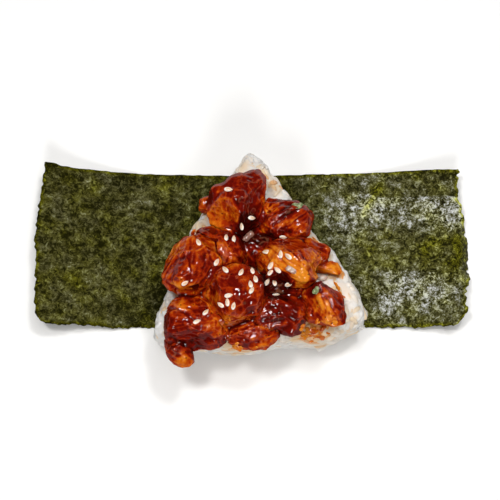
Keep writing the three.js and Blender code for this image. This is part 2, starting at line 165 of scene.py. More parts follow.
# Folds that stand alone, in plan: depth, a crest where it is negative, half width, and the line's points.
CREASES = [
    # back
    (0.5, 0.9, [(-19.1, 6.5), (-15.8, 9.2), (-13.3, 12.2), (-8.8, 14.1)]),
    (0.35, 0.8, [(-6.7, 7.8), (-5.1, 2.5), (-6.4, -2.2)]),
    # left
    (0.35, 0.7, [(-25.0, -9.0), (-25.7, -15.8), (-24.7, -21.9)]),
    (0.6, 0.8, [(-18.4, -11.9), (-15.6, -17.1), (-17.2, -22.9)]),
    (0.6, 0.8, [(-36.6, -22.8), (-29.7, -29.0), (-20.2, -26.1)]),
    (0.4, 0.7, [(-33.4, -23.3), (-27.0, -26.7), (-22.8, -27.3), (-19.0, -27.1)]),
    (0.35, 0.8, [(-35.2, -20.0), (-31.1, -15.9), (-26.9, -15.4)]),
    (0.5, 0.7, [(-22.8, -27.1), (-18.4, -22.8), (-14.4, -19.0)]),
    (0.4, 0.7, [(-19.2, -13.4), (-20.0, -19.3)]),
    # centre, with the curled scrap behind it
    (0.6, 0.8, [(-18.1, -26.7), (-16.9, -33.5), (-11.5, -40.4), (-5.1, -40.4), (-0.2, -37.3)]),
    (-0.6, 0.8, [(-3.9, -14.4), (-4.7, -12.4), (-2.3, -10.7), (-0.2, -13.1), (3.8, -18.4)]),
    # front left and corner
    (0.5, 0.8, [(-38.6, -33.1), (-32.6, -34.1), (-27.6, -36.6), (-22.8, -40.1)]),
    (0.5, 0.8, [(-22.9, -46.3), (-15.6, -47.0), (-9.5, -45.3)]),
    (0.45, 0.8, [(-37.3, -43.4), (-30.2, -48.0), (-25.4, -47.5)]),
    (0.3, 0.6, [(-14.8, -45.5), (-12.8, -48.9)]),
    (0.4, 0.8, [(-34.4, -50.2), (-29.5, -53.3), (-24.7, -51.5)]),
    # front right
    (0.4, 0.6, [(29.1, -24.9), (33.7, -30.5), (37.8, -34.9)]),
    (0.35, 0.6, [(26.8, -27.3), (31.5, -33.7), (34.5, -39.9)]),
    (0.3, 0.6, [(28.0, -30.8), (29.5, -36.6)]),
    # right and side
    (0.5, 0.6, [(13.1, -10.8), (19.0, -17.9), (23.9, -22.6)]),
    (0.3, 0.5, [(6.3, -9.8), (12.7, -17.5), (19.1, -23.7)]),
    (0.3, 0.5, [(3.9, -11.5), (11.1, -20.7), (17.7, -26.2)]),
    (0.6, 0.8, [(19.2, -12.2), (22.3, -17.5), (22.7, -20.8)]),
    # back right
    (0.6, 0.8, [(3.9, 10.6), (6.4, 6.4), (3.9, 1.6)]),
    (0.5, 0.7, [(7.2, 3.2), (12.5, 6.3), (15.8, 8.6)]),
    (0.6, 0.7, [(8.8, -0.2), (15.3, 3.6), (19.4, 6.9)]),
    (0.3, 0.6, [(12.1, -1.8), (18.2, 2.0), (22.8, 6.1)]),
    (0.4, 0.7, [(6.4, 10.1), (10.6, 11.2), (13.8, 14.0)]),
    # front and low front
    (-0.5, 0.8, [(1.4, -37.0), (3.4, -42.8), (7.9, -43.3)]),
    (-0.6, 0.9, [(6.2, -42.6), (13.4, -41.0)]),
    (0.4, 0.7, [(9.5, -43.7), (11.8, -43.5)]),
    (-0.5, 0.8, [(18.7, -34.9), (19.1, -40.3)]),
    (0.5, 0.8, [(3.8, -39.2), (11.0, -37.1)]),
    (-0.4, 0.7, [(-3.9, -48.0), (-0.2, -50.0), (6.3, -48.6), (9.5, -46.0)]),
]

# Corners of the pile that reach out further or are drawn in: plan position, radius, and how far they move.
PULLS = [
    (1.5, 20.5, 6.0, (0.6, 3.2, 0.5)),
    (-4.0, 21.0, 3.5, (0.0, -0.6, 0.0)),
    (-22.5, 12.5, 4.5, (2.4, -0.3, 0.0)),
    (29.5, -18.5, 4.2, (-3.8, 0.0, 0.0)),
    (31.5, -18.8, 3.0, (0.0, 1.3, 0.0)),
    (28.0, -4.0, 5.0, (-0.8, -2.0, 0.0)),
]

# Where each sesame seed lies in plan, and its bearing in degrees; a flake has a size too.
SEEDS = [
    (-9.8, 12.3, -8), (-0.4, 2.2, 0), (-4.3, -1.6, 95), (-10.8, -6.0, 78), (-7.7, -6.5, 85),
    (-22.1, -8.4, 112), (12.5, -5.4, 0), (5.6, -11.9, 170), (11.4, -14.0, 85), (14.4, -15.2, 140),
    (-14.6, -16.5, 60), (-11.0, -20.5, 128), (-4.6, -21.7, 66), (-0.1, -20.8, 98), (7.4, -18.1, 55),
    (7.4, -20.4, 50), (10.1, -20.0, 140), (-16.4, -22.9, 85), (1.2, -24.7, 105), (-27.2, -25.7, 35),
    (-0.8, -27.2, 100), (-0.4, -29.9, 60), (-9.5, -31.8, 8), (-10.0, -34.3, 92), (-12.8, -35.0, 145),
    (-7.6, -35.9, 75), (-18.9, -36.7, 50), (-22.5, -40.7, 25), (9.0, -23.6, 100), (10.6, -23.4, 50),
    (14.7, -25.3, 20), (9.6, -28.6, 20), (5.9, -23.5, 60),
]  # fmt: skip
FLAKES = [(18.4, 7.6, 20, 0.95), (25.6, -28.2, 60, 0.7)]

# Scraps of garlic and onion: plan position, bearing, length, width, and how pale they are.
SOFT_SCRAPS = [
    (-1.9, -4.1, 50, 5.6, 2.8, -0.05), (28.0, -18.6, -12, 6.6, 3.6, 0.5), (15.6, -20.4, -42, 4.6, 2.6, 0.25),
]  # fmt: skip

# Shreds of chicken beside the pile: plan position, bearing, length, width, and how deeply they are glazed.
SHREDS = [
    (20.4, -41.6, 60, 3.2, 1.6, 0.2), (22.9, -43.4, 15, 3.6, 1.4, 0.2), (25.2, -41.4, -15, 4.2, 1.9, 0.2),
    (24.4, -45.0, 40, 2.6, 1.2, 0.2), (27.4, -43.6, 0, 3.0, 1.2, 0.2), (29.0, -40.9, 25, 3.8, 1.5, 0.2),
    (31.4, -42.0, -30, 2.2, 1.0, 0.2), (21.4, -44.0, 80, 2.0, 1.1, 0.2), (26.4, -39.6, 70, 2.6, 1.5, 0.2),
    (26.6, -2.6, -52, 4.2, 1.1, 0.1), (-7.0, -49.4, -30, 4.6, 2.6, 0.2), (-24.6, 0.6, 70, 3.6, 2.0, 0.2),
    (35.1, -23.0, -60, 4.6, 1.4, 0.1), (37.4, -26.4, -50, 3.8, 1.2, 0.1),
]  # fmt: skip

# Smears of fine shreds: plan position, half sizes, bearing and number.
SMEARS = [(24.5, -42.4, 7.5, 2.8, 14, 54), (-6.0, -49.6, 6.0, 1.4, 4, 20)]

# Sauce that ran on to the rice: plan position, radius and strength.
STAINS = [
    (-4, 30, 7, 0.22), (4, 27, 6, 0.28), (10, 21, 6, 0.4), (25, -2, 4, 0.5), (26, -42, 8, 0.8),
    (20, -43, 6, 0.7), (33, -38, 5, 0.5), (42.5, -37.5, 3, 0.5), (-6, -48, 9, 0.7), (8, -49, 7, 0.5),
    (-22, 2, 6, 0.35), (-37, -30, 4, 0.2), (38, -28, 15, 0.14), (34, -44, 12, 0.15),
]  # fmt: skip


# ---------------------------------------------------------------- colours and nodes


def linear(colour):
    """An sRGB hex colour such as #A04010 as linear red, green, blue and alpha; others pass unchanged."""
    if not isinstance(colour, str):
        return colour
    channels = [int(colour[i : i + 2], 16) / 255 for i in (1, 3, 5)]
    return (*(c / 12.92 if c <= 0.04045 else ((c + 0.055) / 1.055) ** 2.4 for c in channels), 1.0)


def add(tree, kind, inputs=None, stops=(), out=0, **settings):
    """Adds a node with its settings and links, and gives its output, out.

    inputs maps a socket to a value, a hex colour or the output that feeds it; stops fill a colour ramp.
    """
    node = tree.nodes.new("ShaderNode" + kind)
    for key, value in settings.items():
        setattr(node, key, value)
    for socket, value in (inputs or {}).items():
        if isinstance(value, bpy.types.NodeSocket):
            tree.links.new(value, node.inputs[socket])
        else:
            node.inputs[socket].default_value = linear(value)
    if stops:
        elements = node.color_ramp.elements
        while len(elements) < len(stops):
            elements.new(1)
        for element, (position, colour) in zip(elements, stops):
            element.position = position
            element.color = linear(colour)
    return node.outputs[out] if len(node.outputs) else None


def new_material(name):
    """An empty material and its node tree."""
    material = bpy.data.materials.new(name)
    material.use_nodes = True
    material.node_tree.nodes.clear()
    return material, material.node_tree


def per_mm(size_mm):
    """The texture scale at which a pattern's features are size_mm across."""
    return 1 / (size_mm * MM)


def glazed_chicken(props):
    """Fried chicken in sticky soy glaze: orange where it is thin, mahogany where it pools, wet all over."""
    material, tree = new_material("glazed_chicken")
    place = add(tree, "TexCoord", out="Object")
    fibre = add(tree, "Attribute", out="Vector", attribute_name="fibre")
    glaze, pocket, crest, wet = (
        add(tree, "Attribute", out="Fac", attribute_name=mask) for mask in ("glaze", "pocket", "crest", "wet")
    )

    mottle = add(tree, "TexNoise", {"Vector": place, "Scale": per_mm(1.3), "Detail": 4, "Roughness": 0.62})
    streak = add(tree, "TexNoise", {"Vector": fibre, "Scale": 1.0, "Detail": 4, "Roughness": 0.65})
    mixed = add(tree, "Math", {0: mottle, 1: streak}, operation="ADD")
    shift = add(tree, "Math", {0: mixed, 1: 0.38, 2: -0.38}, operation="MULTIPLY_ADD")
    depth = add(tree, "Math", {0: glaze, 1: shift}, operation="ADD", use_clamp=True)
    stops = [
        (0.0, "#DC8420"), (0.2, props.thin_glaze), (0.4, "#9C2B04"), (0.59, props.thick_glaze),
        (1.0, "#260401"),
    ]
    colour = add(tree, "ValToRGB", {"Fac": depth}, stops)

    speck = add(tree, "TexVoronoi", {"Vector": place, "Scale": per_mm(2.4)})
    char = {"Value": speck, "From Min": 0.08, "From Max": 0.2, "To Min": 0.85, "To Max": 0.0}
    charred = add(tree, "MapRange", char)
    # Thin pale lines along the crests are painted highlights.
    painted_highlight_share = add(tree, "Math", {0: crest, 1: 0.2}, operation="MULTIPLY")
    # The last mix is near black painted shade, with deep sauce, where the pieces crowd each other.
    for share, tint in ((charred, "#300B03"), (painted_highlight_share, "#C07A58"), (pocket, "#1C0302")):
        colour = add(tree, "Mix", {"Factor": share, 6: colour, 7: tint}, out=2, data_type="RGBA")

    bump = add(tree, "Bump", {"Height": mixed, "Strength": 0.8, "Distance": 0.3 * MM})
    smoother = {"Value": glaze, "From Min": 0.1, "From Max": 0.8, "To Min": 0.42, "To Max": 0.24}
    rough = add(tree, "MapRange", smoother)
    look = {
        "Base Color": colour, "Roughness": rough, "IOR": 1.42, "Specular IOR Level": 0.0, "Normal": bump,
        "Subsurface Weight": 0.1, "Subsurface Radius": (1.0, 0.3, 0.12), "Subsurface Scale": 1.5 * MM,
        "Coat Weight": wet, "Coat Roughness": 0.05, "Coat IOR": 1.45,
    }
    add(tree, "OutputMaterial", {"Surface": add(tree, "BsdfPrincipled", look)})
    return material


def cooked_rice(props):
    """Steamed short-grain rice: moist, white, a little translucent, beige to orange where sauce soaked in."""
    material, tree = new_material("cooked_rice")
    place = add(tree, "TexCoord", out="Object")
    stain = add(tree, "Attribute", out="Fac", attribute_name="stain")
    cloud = add(tree, "TexNoise", {"Vector": place, "Scale": per_mm(3), "Detail": 3})
    shift = add(tree, "Math", {0: cloud, 1: 0.16, 2: -0.08}, operation="MULTIPLY_ADD")
    soaked = add(tree, "Math", {0: stain, 1: shift}, operation="ADD", use_clamp=True)
    stops = [(0.0, props.colour), (0.3, "#E9CBA4"), (0.6, "#E29446"), (1.0, "#C0560F")]
    colour = add(tree, "ValToRGB", {"Fac": soaked}, stops)
    crumb = add(tree, "TexNoise", {"Vector": place, "Scale": per_mm(1.3), "Detail": 3, "Roughness": 0.6})
    bump = add(tree, "Bump", {"Height": crumb, "Strength": 0.6, "Distance": 0.4 * MM})
    look = {
        "Base Color": colour, "Roughness": 0.42, "IOR": 1.38, "Normal": bump,
        "Subsurface Weight": 0.4, "Subsurface Radius": (1.0, 0.88, 0.76), "Subsurface Scale": 1.5 * MM,
    }
    add(tree, "OutputMaterial", {"Surface": add(tree, "BsdfPrincipled", look)})
    return material


def toasted_nori(props):
    """Pressed, toasted seaweed: grey and yellow olive flecks 1 mm across, near black in places, glossier
    where a sheen is painted in.
    """
    material, tree = new_material("toasted_nori")
    place = add(tree, "TexCoord", out="Object")
    sheen = add(tree, "Attribute", out="Fac", attribute_name="sheen")
    rim = add(tree, "Attribute", out="Fac", attribute_name="rim")
    patterns = {
        "fleck": {"Scale": per_mm(1.9), "Detail": 4, "Roughness": 0.72, "Distortion": 1.4},
        "blot": {"Scale": per_mm(3.4), "Detail": 3, "Roughness": 0.6},
        "zone": {"Scale": per_mm(16), "Detail": 2},
        "grit": {"Scale": per_mm(0.9), "Detail": 2, "Distortion": 0.8},
        "young": {"Scale": per_mm(9), "Detail": 3, "Roughness": 0.6},
    }
    noises = {name: add(tree, "TexNoise", {"Vector": place, **pattern}) for name, pattern in patterns.items()}

    # Painted sheen and glints: the flecks' contrast and level rise with the sheen, and one ramp colours them.
    blots = add(tree, "Math", {0: noises["blot"], 1: 1.4, 2: -1.9}, operation="MULTIPLY_ADD")
    flecks = add(tree, "Math", {0: noises["fleck"], 1: 2.4, 2: blots}, operation="MULTIPLY_ADD")
    gleam = add(tree, "Math", {0: noises["grit"], 1: 1.1, 2: -0.55}, operation="MULTIPLY_ADD")
    gain = add(tree, "Math", {0: sheen, 1: 0.34, 2: 0.65}, operation="MULTIPLY_ADD")
    lift = add(tree, "Math", {0: sheen, 1: 0.24, 2: 0.1}, operation="MULTIPLY_ADD")
    gritty = add(tree, "Math", {0: gleam, 1: sheen}, operation="MULTIPLY")
    shone = add(tree, "Math", {0: lift, 1: gritty}, operation="ADD")
    broad = add(tree, "Math", {0: noises["zone"], 1: 0.4, 2: shone}, operation="MULTIPLY_ADD")
    level = add(tree, "Math", {0: flecks, 1: gain, 2: broad}, operation="MULTIPLY_ADD")
    stops = [
        (0.125, "#171602"), (0.243, "#2F2E14"), (0.30, props.colour), (0.357, "#444228"), (0.458, "#545235"),
        (0.547, "#656446"), (0.632, "#7A7B6E"), (0.784, "#9D9D97"), (1.0, "#C6C8C5"),
    ]
    colour = add(tree, "ValToRGB", {"Fac": level}, stops)

    # Young growth and thin places let yellow green through.
    dull = add(tree, "Math", {0: sheen, 1: -0.12, 2: noises["young"]}, operation="MULTIPLY_ADD")
    thin = add(tree, "Math", {0: rim, 1: 0.35, 2: dull}, operation="MULTIPLY_ADD")
    fresh = add(tree, "MapRange", {"Value": thin, "From Min": 0.33, "From Max": 0.72})
    tint = {"Factor": fresh, 6: colour, 7: "#FFFF60"}
    greened = add(tree, "Mix", tint, out=2, data_type="RGBA", blend_type="MULTIPLY")
    smoother = {"Value": sheen, "From Min": 0.0, "From Max": 0.6, "To Min": 0.7, "To Max": 0.45}
    rough = add(tree, "MapRange", smoother)
    bump = add(tree, "Bump", {"Height": flecks, "Strength": 0.5, "Distance": 0.25 * MM})
    look = {
        "Base Color": greened, "Roughness": rough, "IOR": 1.45, "Specular IOR Level": 0.03, "Normal": bump,
    }
    add(tree, "OutputMaterial", {"Surface": add(tree, "BsdfPrincipled", look)})
    return material


def white_sesame(props):
    """Hulled sesame: ivory and satin with a darker body inside a pale rim, browner at the point."""
    material, tree = new_material("white_sesame")
    tip = add(tree, "Attribute", out="Fac", attribute_name="tip")
    body = add(tree, "Attribute", out="Fac", attribute_name="body")
    stops = [(0.0, props.seed_colour), (0.7, "#F0DECA"), (1.0, "#C89A72")]
    colour = add(tree, "ValToRGB", {"Fac": tip}, stops)
    tinted = add(tree, "Mix", {"Factor": body, 6: colour, 7: "#D3A77F"}, out=2, data_type="RGBA")
    look = {
        "Base Color": tinted, "Roughness": 0.35, "IOR": 1.46, "Coat Weight": 0.3, "Coat Roughness": 0.12,
        "Subsurface Weight": 0.15, "Subsurface Radius": (1.0, 0.7, 0.4), "Subsurface Scale": 0.4 * MM,
    }
    add(tree, "OutputMaterial", {"Surface": add(tree, "BsdfPrincipled", look)})
    return material


def dried_parsley(props):
    """A dried herb leaf: grey green and matt, with paler veins."""
    material, tree = new_material("dried_parsley")
    place = add(tree, "TexCoord", out="Object")
    vein = add(tree, "TexNoise", {"Vector": place, "Scale": per_mm(0.9), "Detail": 3, "Roughness": 0.6})
    stops = [(0.3, "#4C5A30"), (0.5, props.herb_colour), (0.7, "#A8AE88")]
    colour = add(tree, "ValToRGB", {"Fac": vein}, stops)
    look = {"Base Color": colour, "Roughness": 0.6, "IOR": 1.4}
    add(tree, "OutputMaterial", {"Surface": add(tree, "BsdfPrincipled", look)})
    return material


def soft_garlic():
    """A scrap of garlic cooked soft in the glaze: pinkish, translucent and wet."""
    material, tree = new_material("soft_garlic")
    place = add(tree, "TexCoord", out="Object")
    pale = add(tree, "Attribute", out="Fac", attribute_name="glaze")
    cloud = add(tree, "TexNoise", {"Vector": place, "Scale": per_mm(1.8), "Detail": 3})
    shade = add(tree, "Math", {0: cloud, 1: 0.8, 2: pale}, operation="MULTIPLY_ADD")
    colour = add(tree, "ValToRGB", {"Fac": shade}, [(0.25, "#5C3028"), (0.6, "#98705F"), (1.0, "#CDBBAC")])
    look = {
        "Base Color": colour, "Roughness": 0.25, "IOR": 1.42, "Coat Weight": 0.3, "Coat Roughness": 0.1,
        "Subsurface Weight": 0.4, "Subsurface Radius": (1.0, 0.5, 0.4), "Subsurface Scale": 1.2 * MM,
    }
    add(tree, "OutputMaterial", {"Surface": add(tree, "BsdfPrincipled", look)})
    return material


def painted_board(props):
    """A pale matt board under the food."""
    material, tree = new_material("pale_board")
    look = {"Base Color": props.floor_colour, "Roughness": 0.8, "IOR": 1.4}
    add(tree, "OutputMaterial", {"Surface": add(tree, "BsdfPrincipled", look)})
    return material


# ---------------------------------------------------------------- shapes


def heading(bearing, elevation):
    """A unit vector from a bearing and an elevation in degrees."""
    b, e = math.radians(bearing), math.radians(elevation)
    return np.array([math.cos(e) * math.cos(b), math.cos(e) * math.sin(b), math.sin(e)])


def unit(vector):
    """The vector at length 1."""
    return vector / np.linalg.norm(vector)


def lattice(cell, seed):
    """A fixed number from -1 to 1 for each whole-number cell."""
    mixed = cell[:, 0] * 374761393 + cell[:, 1] * 668265263 + cell[:, 2] * 1440662683 + seed * 1013904223
    mixed &= 0xFFFFFFFF
    mixed = ((mixed ^ (mixed >> 15)) * 2246822519) & 0xFFFFFFFF
    mixed = ((mixed ^ (mixed >> 13)) * 3266489917) & 0xFFFFFFFF
    return (mixed & 0xFFFF) / 32767.5 - 1


def noise(points, size, seed):
    """Smooth noise from about -1 to 1 whose lumps are size apart."""
    scaled = points / size
    cell = np.floor(scaled).astype(np.int64)
    t = scaled - cell
    t = t * t * t * (t * (t * 6 - 15) + 10)
    total = np.zeros(len(points))
    for corner in range(8):
        step = np.array([corner & 1, corner >> 1 & 1, corner >> 2 & 1])
        weight = np.prod(np.where(step, t, 1 - t), axis=1)
        total += weight * lattice(cell + step, seed)
    return total


def ridges(points, size, seed):
    """Sharp crests from 0 to 1 that wander size apart."""
    warp = np.stack([noise(points, size * 1.6, seed + k) for k in (1, 2, 3)], axis=1)
    return (1 - np.abs(noise(points + 0.45 * size * warp, size, seed))) ** 2


def smooth_step(value, low, high):
    """0 up to low, 1 from high on, and a smooth rise between them."""
    t = np.clip((value - low) / (high - low), 0, 1)
    return t * t * (3 - 2 * t)


def placed(name, data):
    """An object in the scene that holds this mesh, lamp or camera."""
    item = bpy.data.objects.new(name, data)
    bpy.context.scene.collection.objects.link(item)
    return item


def new_piece(name, vertices, faces, material, masks=None, smooth=True):
    """A mesh object from metres, with named per-vertex masks: one number or one vector for each vertex."""
    mesh = bpy.data.meshes.new(name)
    mesh.from_pydata(vertices, [], faces)
    for mask, values in (masks or {}).items():
        vector = values.ndim == 2
        layer = mesh.attributes.new(mask, "FLOAT_VECTOR" if vector else "FLOAT", "POINT")
        layer.data.foreach_set("vector" if vector else "value", values.astype(np.float32).ravel())
    mesh.polygons.foreach_set("use_smooth", [smooth] * len(mesh.polygons))
    mesh.materials.append(material)
    mesh.update()
    return placed(name, mesh)


def soften(copy, voxel, rounds):
    """Adds the modifiers that rebuild an object in even cells, voxel millimetres wide, and smooth it."""
    remesh = copy.modifiers.new("remesh", "REMESH")
    remesh.mode = "VOXEL"
    remesh.voxel_size = voxel * MM
    smooth = copy.modifiers.new("smooth", "SMOOTH")
    smooth.iterations = rounds


def read_quads(copy):
    """The points, in millimetres, and the four-sided faces of a modified object, which is then removed."""
    shaped = copy.evaluated_get(bpy.context.evaluated_depsgraph_get()).to_mesh()
    points = np.empty(len(shaped.vertices) * 3)
    shaped.vertices.foreach_get("co", points)
    corners = np.empty(len(shaped.loops), dtype=np.int64)
    shaped.loops.foreach_get("vertex_index", corners)
    bpy.data.objects.remove(copy)
    return points.reshape(-1, 3) / MM, corners.reshape(-1, 4)


def soft_copy(node, voxel, rounds):
    """A fine, softened copy of a CAD node's surface: points and faces, in millimetres."""
    copy = placed(node + "_copy", frame["nodes"][node].data.copy())
    soften(copy, voxel, rounds)
    return read_quads(copy)


def gathered(faces, vectors, count):
    """For each of count points, the sum of the vectors of the four-sided faces that meet there."""
    total = np.zeros((count, 3))
    for corner in range(4):
        for axis in range(3):
            total[:, axis] += np.bincount(faces[:, corner], vectors[:, axis], count)
    return total


def point_normals(points, faces):
    """Outward unit normals of a mesh of four-sided faces."""
    across = np.cross(points[faces[:, 2]] - points[faces[:, 0]], points[faces[:, 3]] - points[faces[:, 1]])
    total = gathered(faces, across, len(points))
    return total / np.linalg.norm(total, axis=1)[:, None]


def merged(forms):
    """The points and faces of several forms as one form."""
    parts, faces, count = [], [], 0
    for points, corners in forms:
        parts.append(points)
        faces += (corners + count).tolist()
        count += len(points)
    return np.concatenate(parts), faces


def tree_of(forms):
    """One search tree over several forms, each its points and faces."""
    points, faces = merged(forms)
    return BVHTree.FromPolygons(points.tolist(), faces)


def cad_form(node):
    """A CAD node's points and triangles, in millimetres."""
    mesh = frame["nodes"][node].data
    points = np.array([v.co[:] for v in mesh.vertices]) / MM
    return points, np.array([p.vertices[:] for p in mesh.polygons])


def nearest(tree, points, reach):
    """Distance from each point to the tree's surface, up to reach."""
    result = np.full(len(points), reach)
    for i, point in enumerate(points.tolist()):
        found = tree.find_nearest(point, reach)
        if found[3] is not None:
            result[i] = found[3]
    return result


def torn_form(node, voxel, rounds, seed):
    """A CAD piece's surface knocked off its roundness by torn flats: points in millimetres and faces."""
    points, faces = soft_copy(node, voxel, rounds)
    middle = points.mean(axis=0)
    draw = np.random.default_rng(seed)
    for _ in range(18):
        flat = unit(draw.normal(size=3))
        reach = (points - middle) @ flat
        excess = np.maximum(0, reach - draw.uniform(0.88 - 0.10 * max(flat[2], 0), 0.96) * reach.max())
        points = points - 0.9 * excess[:, None] * flat
    return points, faces


def pressed(points):
    """Points moved by the wobble and pulls that the whole pile shares, so that neighbours keep apart."""
    warp = [noise(points, 9, 71 + k) * 0.9 + noise(points, 4.2, 81 + k) * 0.6 for k in range(3)]
    moved = points + np.stack(warp, axis=1) * (1.0, 1.0, 0.8)
    for x, y, radius, pull in PULLS:
        share = np.exp(-(((points[:, 0] - x) ** 2 + (points[:, 1] - y) ** 2) / radius**2))
        moved += share[:, None] * pull
    return moved


def filled_out(points, normals, tree):
    """Swells a piece towards its neighbours where they are close, as pieces do that are heaped while soft."""
    reach = 6.0
    grown = points.copy()
    closeness = np.full(len(points), reach)
    for i, point in enumerate(points.tolist()):
        found = tree.find_nearest(point, reach)
        if found[0] is not None and found[3] > 1e-6:
            closeness[i] = found[3]
            towards = (np.array(found[0]) - point) @ normals[i] / found[3]
            grown[i] += normals[i] * 0.46 * found[3] * max(0.0, towards)
    share = 1 - smooth_step(closeness, 1.6, 4.0)
    return points + (grown - points) * share[:, None], closeness


def bridged(forms, voxel, reach, sink):
    """A closed skin over all the forms that fills gaps up to twice reach wide and lies sink below them."""
    points, faces = merged(forms)
    mesh = bpy.data.meshes.new("bridge")
    mesh.from_pydata(points * MM, [], faces)
    copy = placed("bridge", mesh)
    for step in (reach, -(reach + sink)):
        soften(copy, voxel, rounds=4)
        move = copy.modifiers.new("move", "DISPLACE")
        move.mid_level = 0
        move.strength = step * MM
    soften(copy, voxel, rounds=6)
    return read_quads(copy)


def flattened(points, top):
    """A piece pressed down to a puddle of its own outline, sunk into what it rests on at the height top."""
    middle = points.mean(axis=0)
    share = (points[:, 2] - points[:, 2].min()) / np.ptp(points[:, 2])
    flat = middle + (points - middle) * (0.86, 0.86, 0)
    flat[:, 2] = top - 2.6 + 3.9 * share
    return flat


def wandering(points, size, seed, amount):
    """The points' plan positions, moved about so that a mark drawn there has no clean edge."""
    return points[:, :2] + amount * np.stack([noise(points, size, seed + k) for k in range(2)], axis=1)


def off_line(points, start, end):
    """How far each plan point lies from a straight line, and its place along that line from 0 to 1."""
    run = np.subtract(end, start)
    t = np.clip(((points - start) @ run) / (run @ run), 0, 1)
    return np.hypot(*(points - start - t[:, None] * run).T), t


def tone_at(points):
    """How much darker or barer the glaze is at each point than elsewhere on its piece, with painted shade in
    the hollows.
    """
    p = wandering(points, 3.5, 500, 1.3)
    total = np.zeros(len(points))
    for x, y, wide, tall, bearing, tone in PATCHES:
        c, s, _ = heading(bearing, 0)
        dx, dy = p[:, 0] - x, p[:, 1] - y
        away = ((dx * c + dy * s) / wide) ** 2 + ((dy * c - dx * s) / tall) ** 2
        total += tone * (1 - smooth_step(away, 0.35, 1.7))
    return total


def crease_at(points):
    """Depth of the lone folds at each point, crests being negative."""
    p = wandering(points, 3.0, 510, 0.6)
    total = np.zeros(len(points))
    for depth, width, line in CREASES:
        away = np.min([off_line(p, start, end)[0] for start, end in zip(line, line[1:])], axis=0)
        total += depth * np.exp(-((away / width) ** 2))
    return total


def along_grain(points, bearing, long, short):
    """Points squeezed so that noise of size 1 runs long one way and short across it, in millimetres."""
    along = heading(bearing, 8)
    across = unit(np.cross([0, 0, 1], along))
    upward = np.cross(along, across)
    return np.stack([points @ along / long, points @ across / short, points @ upward / short], axis=1)


def chicken_surface(node, tree, props, seed):
    """One piece's meat relief with the glaze lying over it, and the masks that its material reads."""
    look = LOOKS[node]
    p, faces = torn_form(node, props.detail / MM, rounds=14, seed=seed)
    p, closeness = filled_out(p, point_normals(p, faces), tree)
    p = pressed(p)
    normals = point_normals(p, faces)

    fibre = along_grain(p, look.fibre_bearing, 1.3 + 12 * look.fibres, 0.95)
    fold = along_grain(p, look.fold_bearing, 10.0, 4.0)
    tone = tone_at(p) * smooth_step(normals[:, 2], -0.5, 0.3) + look.tone * 0.6
    tone += 0.26 * noise(p, 5, seed + 50) + 0.14 * noise(p, 2.2, seed + 51)
    bare = 1 - smooth_step(tone, -0.7, 0.2)

    lumps = 0.32 * noise(p, 7.5, seed) + 0.16 * noise(p, 3.6, seed + 10)
    folds = look.folds * 0.55 * (ridges(fold, 1.0, seed + 20) - 0.45) - crease_at(p) * (normals[:, 2] > 0)
    strands = look.fibres * noise(fibre, 1.0, seed + 30) * (0.15 + 0.5 * bare)
    crisp = 0.4 + 0.6 * smooth_step(noise(p, 6, seed + 70), -0.3, 0.4)
    crests = ridges(p, 2.9, seed + 15)
    wrinkles = 0.26 * crisp * (crests - 0.45)
    crumbs = crisp * (0.11 * noise(p, 1.5, seed + 40) + 0.05 * noise(p, 0.9, seed + 41))
    meat = lumps + folds + strands + wrinkles + crumbs
    level = lumps + 0.85 * folds + 0.7 * wrinkles + 0.75 * crumbs + 0.10 * tone - 0.05
    gap = level - meat
    thick = 0.5 * (gap + np.sqrt(gap * gap + 0.01))
    points = p + normals * (meat + thick - 0.2)[:, None]

    # Painted shade with sauce pooled in it: near black where a neighbour is close and the surface faces
    # sideways. It dulls the coat there too.
    pocket = smooth_step(3.2 - closeness, 0.8, 2.8) * smooth_step(1.0 - normals[:, 2], 0.0, 0.9)
    facing = point_normals(points, faces)
    fine, broad = (hollow_at(points, faces, facing, rounds) for rounds in (4, 16))
    glaze = 0.54 + 0.42 * tone + np.clip(1.2 * fine, -0.08, 0.10) + np.clip(0.5 * broad, -0.08, 0.12)
    # Painted highlight: thin pale lines along the sharpest crests, in patches.
    crest_highlight = smooth_step(crests, 0.80, 0.95) * smooth_step(noise(p, 5, seed + 75), -0.1, 0.5)
    steep = 1 - smooth_step(facing[:, 2], 0.35, 0.85)
    wet = 0.85 * (1 - 0.85 * pocket) * (1 - 0.8 * steep) * (1 - 0.7 * smooth_step(tone, 0.75, 1.1))
    masks = {"pocket": pocket, "fibre": fibre, "crest": crest_highlight, "wet": wet}
    masks["glaze"] = np.clip(glaze, 0, 0.95)
    return points * MM, faces, masks


def hollow_at(points, faces, normals, rounds):
    """How far each point lies below the mean of those around it, in millimetres; crests are negative."""
    count = np.bincount(faces.ravel(), minlength=len(points))
    level = points
    for _ in range(rounds):
        level = gathered(faces, level[faces].mean(axis=1), len(points)) / count[:, None]
    return np.sum((level - points) * normals, axis=1)


def ring_solid(section, lengthwise, around):
    """A lying form's closed skin: section(t) gives a ring's middle and half sizes, for t from 0 to 1."""
    vertices, faces, along = [], [], []
    for i in range(1, lengthwise):
        t = i / lengthwise
        middle, wide, tall = section(t)
        for j in range(around):
            a = 2 * math.pi * j / around
            vertices.append([middle[0], middle[1] + wide * math.cos(a), middle[2] + tall * math.sin(a)])
            along.append(t)
    for i in range(lengthwise - 2):
        for j in range(around):
            a, b = i * around + j, i * around + (j + 1) % around
            faces.append([a, b, b + around, a + around])
    first, last = len(vertices), len(vertices) + 1
    vertices += [list(section(0)[0]), list(section(1)[0])]
    along += [0, 1]
    end = (lengthwise - 2) * around
    for j in range(around):
        k = (j + 1) % around
        faces.append([first, k, j])
        faces.append([last, end + j, end + k])
    return np.array(vertices), faces, np.array(along)


